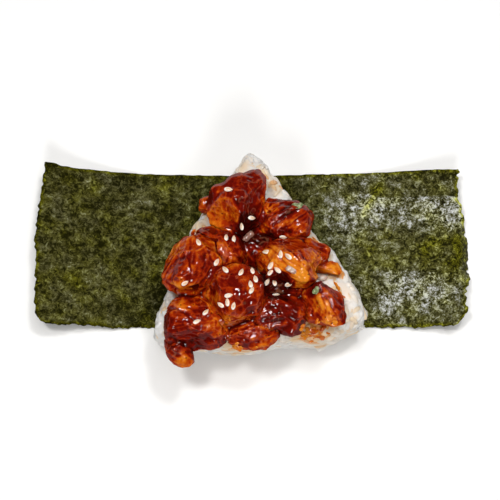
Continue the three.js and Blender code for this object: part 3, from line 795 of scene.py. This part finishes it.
def seed_form(props):
    """A flat pear shape: blunt at one end, drawn to a point at the other."""

    def section(t):
        half = max(0.0, 1 - (2 * t - 1) ** 2) ** (0.5 + 0.45 * max(0.0, 2 * t - 1))
        swell = half * (1.12 - 0.4 * t * t)
        middle = ((t - 0.5) * props.seed_length, 0, 0)
        return middle, 0.5 * props.seed_width * swell, 0.28 * props.seed_width * swell

    return ring_solid(section, lengthwise=14, around=14)


def rice_form(props):
    """A plump cooked grain, a little bent along its length."""

    def section(t):
        half = max(0.0, 1 - abs(2 * t - 1) ** 2.6) ** 0.5
        bend = 0.05 * props.grain_length * math.cos(math.pi * (t - 0.5))
        middle = ((t - 0.5) * props.grain_length, bend, 0)
        return middle, 0.5 * props.grain_width * half, 0.45 * props.grain_width * half

    return ring_solid(section, lengthwise=8, around=8)


def lay(form, point, normal, bearing, tilt=0.0):
    """The form's points, its length on a bearing in the plane that faces normal, lifted or dipped by tilt."""
    normal = unit(normal)
    along = heading(bearing, 0)
    along = unit(along - normal * (along @ normal))
    along = along * math.cos(tilt) + normal * math.sin(tilt)
    across = unit(np.cross(normal, along))
    return form @ np.stack([along, across, np.cross(along, across)]) + point


def joined(copies, faces):
    """Many copies of one form as one list of points and one of faces."""
    count = len(copies[0])
    all_faces = [[corner + k * count for corner in face] for k in range(len(copies)) for face in faces]
    return np.concatenate(copies), all_faces


def rest_on(trees, x, y):
    """The highest point of the food under a plan position, and its normal; looks beside it over a gap."""
    for dx, dy in ((0, 0), (0.8, 0), (-0.8, 0), (0, 0.8), (0, -0.8)):
        above = Vector(((x + dx) * MM, (y + dy) * MM, 0.1))
        hits = [tree.ray_cast(above, DOWN) for tree in trees]
        hits = [hit for hit in hits if hit[0] is not None]
        if hits:
            best = max(hits, key=lambda hit: hit[0].z)
            return np.array(best[0]), np.array(best[1])
    raise RuntimeError(f"no food under {x}, {y}")


def scrap_piece(name, places, height, trees, material, seed):
    """Small lumpy scraps that lie on the pieces or the rice; height is their share of their width."""
    draw = np.random.default_rng(seed)
    all_points, all_faces, tones = [], [], []
    for x, y, bearing, long, wide, tone in places:
        fat = draw.uniform(2.2, 3.4)

        def section(t, long=long, wide=wide, fat=fat, bend=draw.uniform(-0.6, 0.6)):
            half = max(0.0, 1 - abs(2 * t - 1) ** fat) ** 0.5
            middle = ((t - 0.5) * long, bend * math.sin(math.pi * t), 0)
            return middle, 0.5 * wide * half, 0.5 * height * wide * half

        large = long > 2.7
        form, faces, _ = ring_solid(section, 26 if large else 12, 24 if large else 12)
        point, normal = rest_on(trees, x, y)
        points = lay(form, point / MM + normal * 0.12 * wide, normal + np.array([0, 0, 0.3]), bearing)
        swell = 0.45 * noise(points, 1.7, seed) + 0.2 * noise(points, 0.8, seed + 1)
        outward = points - points.mean(axis=0)
        outward /= np.linalg.norm(outward, axis=1)[:, None]
        first = sum(len(p) for p in all_points)
        all_points.append(points + outward * swell[:, None])
        tones += [tone] * len(points)
        all_faces += [[first + corner for corner in face] for face in faces]
    points = np.concatenate(all_points)
    masks = {
        "glaze": np.clip(tones + 0.3 * noise(points, 2.5, seed + 2), 0, 1),
        "pocket": np.zeros(len(points)),
        "wet": np.full(len(points), 0.85),
        "fibre": along_grain(points, 30, 3.0, 0.7),
    }
    return new_piece(name, points * MM, all_faces, material, masks)


def dressed_trees():
    """Search trees over the dressed chicken pieces."""
    trees = []
    for node in LOOKS:
        mesh = bpy.data.objects[node + "_glazed"].data
        trees.append(BVHTree.FromPolygons([v.co for v in mesh.vertices], [p.vertices for p in mesh.polygons]))
    return trees


# ---------------------------------------------------------------- settings


def size_setting(name, description, millimetres):
    """A length that a user can change."""
    return FloatProperty(
        name=name, description=description, default=millimetres * MM, subtype="DISTANCE", unit="LENGTH"
    )


def colour_setting(name, description, colour):
    """A colour that a user can change."""
    return FloatVectorProperty(
        name=name, description=description, default=linear(colour), size=4, subtype="COLOR"
    )


class OnigiriNori(bpy.types.PropertyGroup):
    """The nori sheet's sizes and colour."""

    thickness: size_setting("Thickness", "How thick the sheet is", 0.35)
    rag: size_setting("Rag", "How far the torn ends wander", 0.9)
    cells: IntProperty(name="Cells", description="Cells along the sheet", default=330, min=40, max=500)
    colour: colour_setting("Colour", "Main olive of the sheet", "#3B381D")


class OnigiriRice(bpy.types.PropertyGroup):
    """The rice's sizes and colour."""

    grain_length: size_setting("Grain length", "Length of a cooked grain", 6.2)
    grain_width: size_setting("Grain width", "Width of a cooked grain", 3.0)
    spacing: size_setting("Spacing", "Least distance between grains", 2.3)
    colour: colour_setting("Colour", "Clean rice", "#EAE6E1")


class OnigiriChicken(bpy.types.PropertyGroup):
    """The chicken's fineness and glaze colours."""

    detail: size_setting("Detail", "Size of the surface's cells", 0.36)
    thin_glaze: colour_setting("Thin glaze", "Glaze over bare meat", "#C45E0C")
    thick_glaze: colour_setting("Thick glaze", "Glaze where it is deep", "#6A0B02")


class OnigiriToppings(bpy.types.PropertyGroup):
    """The seeds' and herbs' sizes and colours."""

    seed_length: size_setting("Seed length", "Length of a sesame seed", 3.6)
    seed_width: size_setting("Seed width", "Width of a sesame seed", 1.75)
    herb_length: size_setting("Herb length", "Length of a herb flake", 5.0)
    seed_colour: colour_setting("Seed colour", "Body of a seed", "#F8EEE0")
    herb_colour: colour_setting("Herb colour", "Body of a flake", "#7C875A")


class OnigiriStage(bpy.types.PropertyGroup):
    """The floor and the camera."""

    floor_size: size_setting("Floor size", "Side of the floor", 3000)
    camera_distance: size_setting("Camera distance", "From the food's middle", 600)
    camera_tilt: FloatProperty(
        name="Camera tilt", description="How far the camera leans from straight down",
        default=math.radians(15), subtype="ANGLE", unit="ROTATION",
    )
    lens: FloatProperty(
        name="Lens", description="Focal length in millimetres",
        default=98.06, subtype="DISTANCE_CAMERA", unit="CAMERA",
    )
    floor_colour: colour_setting("Floor colour", "The board", "#F4F3F1")


# ---------------------------------------------------------------- operators


class ONIGIRI_OT_chicken(bpy.types.Operator):
    """Dress the chicken pieces in meat relief and glaze"""

    bl_idname = "onigiri.chicken"
    bl_label = "Glazed chicken"

    def execute(self, context):
        props = context.scene.onigiri_chicken
        material = glazed_chicken(props)
        rough = {node: torn_form(node, voxel=0.9, rounds=3, seed=100 * i + 7) for i, node in enumerate(LOOKS)}
        for index, node in enumerate(LOOKS):
            tree = tree_of(form for other, form in rough.items() if other != node)
            points, faces, masks = chicken_surface(node, tree, props, 100 * index + 7)
            piece = new_piece(node + "_glazed", points, faces, material, masks)
            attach(piece, "root")
            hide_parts(node)
        self.pool(rough, material)
        return {"FINISHED"}

    @staticmethod
    def pool(rough, material):
        """The glaze that collects between the pieces and joins them into one heap."""
        heap = [(pressed(points), corners) for points, corners in rough.values()]
        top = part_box("rice_triangle")[1].z / MM
        low = [(points, corners) for points, corners in heap if points[:, 2].min() < top + 2]
        puddles = [(flattened(points, top), corners) for points, corners in low]
        p, faces = bridged(heap + puddles, voxel=0.6, reach=1.6, sink=0.9)
        away = nearest(tree_of(heap), p, reach=3.0)
        normals = point_normals(p, faces)
        # Deep in the gaps, away from the pieces, the glaze darkens to near black: pooled sauce and painted
        # shade.
        tone = 0.55 + 0.3 * tone_at(p) + 0.3 * smooth_step(away, 0.3, 1.3)
        tone += 0.12 * noise(p, 5, 940) + 0.1 * noise(p, 2.2, 941)
        shape = 0.2 * noise(p, 2.6, 942) + 0.14 * noise(p, 1.2, 943)
        masks = {"glaze": np.clip(tone, 0, 1), "pocket": 0.95 * smooth_step(away, 0.3, 1.5)}
        masks["fibre"] = along_grain(p, 20, 4.0, 1.2)
        masks["wet"] = 0.85 - 0.75 * masks["pocket"]
        pool = new_piece("pooled_glaze", (p + normals * shape[:, None]) * MM, faces.tolist(), material, masks)
        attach(pool, "root")


class ONIGIRI_OT_toppings(bpy.types.Operator):
    """Lay the sesame seeds, herb flakes, soft scraps and shreds on the chicken and rice"""

    bl_idname = "onigiri.toppings"
    bl_label = "Sesame and herbs"

    def execute(self, context):
        props = context.scene.onigiri_toppings
        draw = np.random.default_rng(5)
        trees = dressed_trees()

        form, faces, along = seed_form(props)
        copies = []
        for x, y, bearing in SEEDS:
            point, normal = rest_on(trees, x, y)
            normal = unit(normal + np.array([0, 0, 0.9]))
            size = draw.uniform(0.92, 1.06)
            tilt = draw.uniform(-0.12, 0.12)
            copies.append(lay(form * size, point + normal * 0.22 * MM, normal, bearing, tilt))
        vertices, faces = joined(copies, faces)
        across = (2 * form[:, 0] / props.seed_length) ** 2 + (2 * form[:, 1] / props.seed_width) ** 2
        tint = np.concatenate([np.clip(1.2 - 2.2 * across, 0, 1) * draw.uniform(0.5, 1) for _ in copies])
        masks = {"tip": np.tile(along, len(copies)), "body": tint}
        seeds = new_piece("sesame_seeds", vertices, faces, white_sesame(props), masks)

        leaf, faces = self.leaf(props.herb_length)
        copies = []
        for x, y, bearing, size in FLAKES:
            point, normal = rest_on(trees, x, y)
            normal = normal + np.array([0, 0, 1.2])
            copies.append(lay(leaf * size, point + np.array([0, 0, 0.35 * MM]), normal, bearing))
        vertices, faces = joined(copies, faces)
        herbs = new_piece("parsley_flakes", vertices, faces, dried_parsley(props))

        rice_points, rice_faces = cad_form("rice_triangle")
        trees.append(tree_of([(rice_points * MM, rice_faces)]))
        chicken = bpy.data.materials["glazed_chicken"]
        garlic = scrap_piece("soft_scraps", SOFT_SCRAPS, 0.42, trees, soft_garlic(), seed=77)
        shreds = scrap_piece("chicken_shreds", SHREDS + self.smears(trees), 0.4, trees, chicken, seed=88)

        for piece in (seeds, herbs, garlic, shreds):
            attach(piece, "root")
        return {"FINISHED"}

    @staticmethod
    def smears(trees):
        """Fine shreds scattered over the smears, without any that would lie off the food."""
        draw = np.random.default_rng(64)
        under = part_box("rice_triangle")[1].z - 8 * MM
        places = []
        for x, y, wide, tall, bearing, count in SMEARS:
            c, s, _ = heading(bearing, 0)
            for _ in range(count):
                along, across = draw.normal(0, 0.45 * wide), draw.normal(0, 0.45 * tall)
                turn = draw.normal(0, 40)
                long, thick, tone = draw.uniform((1.0, 0.6, -0.15), (2.6, 1.2, 0.2))
                px, py = x + along * c - across * s, y + along * s + across * c
                above = Vector((px * MM, py * MM, 0.1))
                if any(tree.ray_cast(above, DOWN, above.z - under)[0] is not None for tree in trees):
                    places.append((px, py, bearing + turn, long, thick, tone))
        return places

    @staticmethod
    def leaf(length):
        """A crumpled leaf scrap with a toothed outline, as a thin closed skin."""
        rings, around = 5, 28
        vertices = []
        for side in (1, -1):
            for i in range(rings + 1):
                for j in range(around):
                    a = 2 * math.pi * j / around
                    reach = 0.5 * (1 + 0.11 * math.sin(3 * a + 1) + 0.06 * math.cos(8 * a)) * i / rings
                    x, y = reach * math.cos(a), 0.68 * reach * math.sin(a)
                    crumple = 0.10 * math.sin(9 * x) * math.cos(8 * y) + 0.25 * x * x
                    vertices.append([x * length, y * length, (crumple + side * 0.02) * length])
        faces = []
        under = (rings + 1) * around
        for i in range(rings):
            for j in range(around):
                a, b = i * around + j, i * around + (j + 1) % around
                c, d = b + around, a + around
                faces.append([a, d, c, b])
                faces.append([under + a, under + b, under + c, under + d])
        edge = rings * around
        for j in range(around):
            a, b = edge + j, edge + (j + 1) % around
            faces.append([a, under + a, under + b, b])
        return np.array(vertices), faces


class ONIGIRI_OT_rice(bpy.types.Operator):
    """Build the rice triangle from a soft core and separate grains"""

    bl_idname = "onigiri.rice"
    bl_label = "Rice"

    def execute(self, context):
        props = context.scene.onigiri_rice
        material = cooked_rice(props)
        points, faces = soft_copy("rice_triangle", voxel=0.7, rounds=36)
        normals = point_normals(points, faces)
        chicken = tree_of([cad_form(node) for node in LOOKS])
        core_points = points + normals * (0.12 * noise(points, 2.4, 901) - 0.35)[:, None]
        masks = {"stain": self.stain(points, chicken)}
        core = new_piece("rice_core", core_points * MM, faces, material, masks)

        picked = self.spread(points, props.spacing / MM)
        picked = picked[self.shown(points[picked], normals[picked], chicken)]
        spots, facing = points[picked], normals[picked]
        corners = np.minimum(hollow_at(points, faces, normals, rounds=16), 0)[picked]
        sunk = 0.4 * smooth_step(facing[:, 2], 0.5, 0.9) - 0.8 * corners
        form, grain_faces, _ = rice_form(props)
        draw = np.random.default_rng(21)
        copies = [
            lay(
                form / MM * draw.uniform(0.86, 1.06),
                spot - normal * (draw.uniform(0.85, 1.2) + min(deep, 0.5)),
                normal,
                draw.uniform(0, 360),
                draw.uniform(-0.16, 0.16),
            )
            for spot, normal, deep in zip(spots, facing, sunk)
        ]
        vertices, grain_faces = joined(copies, grain_faces)
        soaked = self.stain(spots, chicken)
        soaked += (draw.random(len(spots)) < 0.16 + 1.5 * soaked) * draw.uniform(0.06, 0.26, len(spots))
        masks = {"stain": np.clip(np.repeat(soaked, len(form)), 0, 1)}
        grains = new_piece("rice_grains", vertices * MM, grain_faces, material, masks)
        for piece in (core, grains):
            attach(piece, "root")
        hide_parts("rice_triangle")
        return {"FINISHED"}

    @staticmethod
    def stain(points, chicken):
        """How much sauce soaked in: strong beside the chicken and in a few spots."""
        near = nearest(chicken, points, reach=6)
        value = 0.6 * (1 - smooth_step(near, 0.2, 3.2 + 1.8 * noise(points, 5, 950)))
        for x, y, radius, strength in STAINS:
            fall = 0.42 * (RICE_TOP - points[:, 2])
            away = np.sqrt((points[:, 0] - x) ** 2 + (points[:, 1] - y) ** 2 + fall**2) / radius
            value = np.maximum(value, strength * np.exp(-2 * away**2))
        return np.clip(value * (0.75 + 0.5 * noise(points, 3, 951)), 0, 1)

    @staticmethod
    def spread(points, spacing):
        """Picks the numbers of points that lie at least spacing apart."""
        order = np.random.default_rng(3).permutation(len(points))
        taken, picked = {}, []
        for index in order.tolist():
            cell = tuple(np.floor(points[index] / spacing).astype(int))
            near = [
                other
                for dx in (-1, 0, 1)
                for dy in (-1, 0, 1)
                for dz in (-1, 0, 1)
                for other in taken.get((cell[0] + dx, cell[1] + dy, cell[2] + dz), ())
            ]
            if all(np.sum((points[index] - points[other]) ** 2) > spacing**2 for other in near):
                taken.setdefault(cell, []).append(index)
                picked.append(index)
        return np.array(picked)

    @staticmethod
    def shown(spots, facing, chicken):
        """Leaves out the grains under the rice and those well inside the pile's footprint."""
        keep = []
        beside = ((0, 0), (3.5, 0), (-3.5, 0), (0, 3.5), (0, -3.5))
        for spot, normal in zip(spots, facing):
            covered = 0
            for dx, dy in beside:
                hit = chicken.ray_cast(Vector((spot[0] + dx, spot[1] + dy, 100)), DOWN)
                covered += hit[0] is not None and hit[0].z > spot[2]
            keep.append(spot[2] > 3.4 and not (covered == len(beside) and normal[2] > 0.6))
        return np.array(keep)


class ONIGIRI_OT_nori(bpy.types.Operator):
    """Lay the toasted nori sheet"""

    bl_idname = "onigiri.nori"
    bl_label = "Nori"

    def execute(self, context):
        props = context.scene.onigiri_nori
        low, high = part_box("nori_sheet")
        length, width = (high.x - low.x) / MM, (high.y - low.y) / MM
        solid = tree_of([cad_form("nori_sheet")])
        columns = props.cells
        rows = int(columns * width / length)
        u, v = np.meshgrid(np.linspace(0, 1, columns + 1), np.linspace(0, 1, rows + 1), indexing="ij")
        u, v = u.ravel(), v.ravel()
        flat = self.plan(u, v, low / MM, high / MM, props.rag / MM)
        z = self.height(flat, solid, columns, rows)
        middle = np.column_stack([flat, z])
        creases, sheen = self.creases(middle, v)
        wrinkle = 0.16 * noise(middle, 5.5, 400) + 0.09 * noise(middle, 2.2, 401)
        wrinkle += 0.05 * noise(middle, 1.0, 402)
        half = 0.5 * props.thickness / MM
        middle[:, 2] = np.maximum(middle[:, 2] + (0.22 + wrinkle + creases), half + 0.02)
        top, bottom = middle.copy(), middle.copy()
        top[:, 2] += half
        bottom[:, 2] -= half
        vertices = np.concatenate([top, bottom]) * MM
        edge = np.minimum((0.5 - np.abs(u - 0.5)) * length, (0.5 - np.abs(v - 0.5)) * width)
        rim = 1 - smooth_step(edge + 0.5 * noise(middle, 2.0, 403), 0.4, 1.9)
        streak = self.streak(middle)
        rim = np.maximum(rim, streak) + self.green(middle)
        # The streak is lightened with painted sheen as well.
        sheen = sheen + 0.35 * streak
        masks = {"sheen": np.concatenate([sheen, 0 * sheen]), "rim": np.concatenate([rim, rim])}
        sheet = new_piece("nori_leaf", vertices, self.skin(columns, rows), toasted_nori(props), masks)
        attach(sheet, "root")
        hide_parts("nori_sheet")
        return {"FINISHED"}

    @staticmethod
    def plan(u, v, low, high, rag):
        """The sheet's outline in plan: rounded front corners, ends drawn in towards the back, torn edges."""
        end = {}
        ends = ((-1, -low.x - 0.5, 6.0, 1.7, 1.4, 0.6, 0.45), (1, high.x - 0.4, 5.6, 1.2, 3.3, 0.46, 0.8))
        for side, length, corner, back_in, bulge, middle, share in ends:
            cut = np.maximum(0, corner - v * NORI_WIDTH)
            rounding = corner - np.sqrt(np.maximum(corner**2 - cut**2, 0))
            reach = length - rounding - back_in * v * v + bulge * np.exp(-(((v - middle) / 0.22) ** 2))
            spot = np.column_stack([0 * v + side * 95, v * 70, 0 * v])
            torn = 0.8 * noise(spot, 7, 410) + 1.3 * noise(spot, 3.0, 411) + 1.0 * noise(spot, 1.4, 412)
            end[side] = reach + rag * (share * torn - 0.5)
        x = -end[-1] + u * (end[-1] + end[1])
        spot = np.column_stack([x, 0 * x, 0 * x])
        front = 0.5 * rag * (noise(spot, 6, 420) + noise(spot, 1.8, 421) + 0.7 * noise(spot, 0.9, 423) - 0.6)
        back = 0.18 * rag * noise(spot, 2.4, 422)
        t = np.abs(x) / NORI_HALF_LENGTH
        flare = v * np.where(x < 0, 1.9 * t**1.2, 2.3 * t * (1 - t**4))
        y = (v - 0.5) * NORI_WIDTH + flare + (1 - v) ** 6 * front + v**6 * back
        ear = np.exp(-(((x + 88.5) / 3.0) ** 2)) * np.exp(-(((v - 1) / 0.06) ** 2))
        return np.column_stack([x, y + 0.9 * ear])

    @staticmethod
    def height(flat, solid, columns, rows):
        """The solid's underside below each point, softened so that its facets don't show."""
        z = np.zeros(len(flat))
        for i, (x, y) in enumerate(flat.tolist()):
            # A little nearer the middle, so that points past the solid's edge find it too.
            hit = solid.ray_cast(Vector((x * 0.985, y * 0.97, -10)), UP)
            z[i] = hit[0].z if hit[0] is not None else 0
        grid = z.reshape(columns + 1, rows + 1)
        for _ in range(60):
            grid = np.pad(grid, 1, mode="reflect", reflect_type="odd")
            grid = (grid[:-2, 1:-1] + grid[2:, 1:-1] + grid[1:-1, :-2] + grid[1:-1, 2:]) / 4
        return grid.ravel()

    @staticmethod
    def creases(middle, v):
        """Two soft steps across the right half, and the sheen painted over that half, strongest below each
        step.
        """
        x, down = middle[:, 0], 1 - v
        step = down + 0.02 * np.sin(0.05 * x) + 0.012 * noise(middle, 12, 430)
        height = np.zeros(len(v))
        shine = np.zeros(len(v))
        for start, fade, strength, left in ((0.17, 0.27, 1.65, 50), (0.665, 0.34, 1.05, 58)):
            right = smooth_step(x + 3 * noise(middle, 5, 434), left - 8, left + 8)
            below = (step - start) / fade
            rise = smooth_step(below, -0.05, 0.0) * (1 - smooth_step(below, 0.3, 1.0)) * right
            height += 0.7 * rise
            shine = np.maximum(shine, strength * rise)
        # Two patches of painted sheen; the painted sheen over the whole right half is added last.
        for place_x, place_y, wide, tall, strength in ((41, 13, 10, 12, 1.15), (60, -23, 7, 8, 1.45)):
            patch = np.exp(-(((x - place_x) / wide) ** 2) - ((middle[:, 1] - place_y) / tall) ** 2)
            shine = np.maximum(shine, strength * patch)
        patches = 0.85 + 0.3 * noise(middle, 13, 431) + 0.22 * noise(middle, 5, 432)
        return height, np.clip(shine * patches + 0.38 * smooth_step(x, 12, 40) * (1 - 0.5 * shine), 0, 1.6)

    @staticmethod
    def streak(middle):
        """A narrow fold line at the back of the right half, where the sheet is thin and yellow green."""
        away, t = off_line(wandering(middle, 4.0, 440, 0.9), start=(59.5, 35.0), end=(49.0, 16.5))
        return np.exp(-((away / 1.9) ** 2)) * (1 - 0.4 * t)

    @staticmethod
    def green(middle):
        """Where the right half is greener: between its two shiny bands and at its end."""
        x, y = middle[:, 0], middle[:, 1]
        between = 0.4 * np.exp(-(((y + 1) / 7) ** 2)) * smooth_step(x, 35, 52)
        end = 0.7 * np.exp(-(((x - 91) / 4.5) ** 2) - ((y + 1) / 12) ** 2)
        return between + end

    @staticmethod
    def skin(columns, rows):
        """Faces of the top, the underside and the rim of a grid of points."""
        index = np.arange((columns + 1) * (rows + 1)).reshape(columns + 1, rows + 1)
        a, b, c, d = index[:-1, :-1], index[1:, :-1], index[1:, 1:], index[:-1, 1:]
        top = np.stack([a, b, c, d], axis=-1).reshape(-1, 4)
        under = top[:, ::-1] + index.size
        rim = np.concatenate([index[:-1, 0], index[-1, :-1], index[:0:-1, -1], index[0, :0:-1]])
        after = np.roll(rim, -1)
        side = np.stack([rim, rim + index.size, after + index.size, after], axis=-1)
        return np.concatenate([top, under, side]).tolist()


class ONIGIRI_OT_stage(bpy.types.Operator):
    """Set the board, the soft light and the camera"""

    bl_idname = "onigiri.stage"
    bl_label = "Stage"

    def execute(self, context):
        props = context.scene.onigiri_stage
        half = props.floor_size / 2
        corners = np.array([[-half, -half, 0], [half, -half, 0], [half, half, 0], [-half, half, 0]])
        floor = new_piece("board", corners, [[0, 1, 2, 3]], painted_board(props), smooth=False)
        for lamp in LAMPS:
            self.light(*lamp)
        world = bpy.data.worlds.new("soft_room")
        world.use_nodes = True
        background = world.node_tree.nodes["Background"]
        background.inputs["Color"].default_value = linear(ROOM_COLOUR)
        background.inputs["Strength"].default_value = ROOM_STRENGTH
        context.scene.world = world
        context.scene.view_settings.view_transform = "Standard"
        self.camera(context, props)
        return {"FINISHED"}

    @staticmethod
    def light(name, place, size, power):
        """A square lamp that faces the middle of the board."""
        lamp = bpy.data.lights.new(name, "AREA")
        lamp.size = size
        lamp.energy = power
        holder = placed(name, lamp)
        holder.location = place
        holder.rotation_euler = (-Vector(place)).to_track_quat("-Z", "Y").to_euler()
        holder.visible_glossy = name != "softbox"

    @staticmethod
    def camera(context, props):
        """Looks down at the food's middle, leaning towards its front."""
        data = bpy.data.cameras.new("camera")
        data.lens = props.lens
        data.sensor_width = SENSOR_WIDTH
        holder = placed("camera", data)
        away = Vector((0, -math.sin(props.camera_tilt), math.cos(props.camera_tilt)))
        holder.location = Vector(CAMERA_TARGET) + away * props.camera_distance
        holder.rotation_euler = (props.camera_tilt, 0, 0)
        context.scene.camera = holder


class ONIGIRI_PT_panel(bpy.types.Panel):
    """The onigiri's settings and steps"""

    bl_label = "Onigiri"
    bl_idname = "ONIGIRI_PT_panel"
    bl_space_type = "VIEW_3D"
    bl_region_type = "UI"
    bl_category = "Onigiri"

    def draw(self, context):
        for name, group, operator in STEPS:
            box = self.layout.box()
            for setting in group.__annotations__:
                box.prop(getattr(context.scene, name), setting)
            box.operator(operator.bl_idname)


STEPS = [
    ("onigiri_chicken", OnigiriChicken, ONIGIRI_OT_chicken),
    ("onigiri_toppings", OnigiriToppings, ONIGIRI_OT_toppings),
    ("onigiri_rice", OnigiriRice, ONIGIRI_OT_rice),
    ("onigiri_nori", OnigiriNori, ONIGIRI_OT_nori),
    ("onigiri_stage", OnigiriStage, ONIGIRI_OT_stage),
]


def register():
    for name, group, operator in STEPS:
        bpy.utils.register_class(group)
        setattr(bpy.types.Scene, name, PointerProperty(type=group))
        bpy.utils.register_class(operator)
    bpy.utils.register_class(ONIGIRI_PT_panel)


def unregister():
    bpy.utils.unregister_class(ONIGIRI_PT_panel)
    for name, group, operator in reversed(STEPS):
        bpy.utils.unregister_class(operator)
        delattr(bpy.types.Scene, name)
        bpy.utils.unregister_class(group)


def main():
    register()
    bpy.ops.onigiri.chicken()
    bpy.ops.onigiri.toppings()
    bpy.ops.onigiri.rice()
    bpy.ops.onigiri.nori()
    bpy.ops.onigiri.stage()


if __name__ == "__main__":
    main()
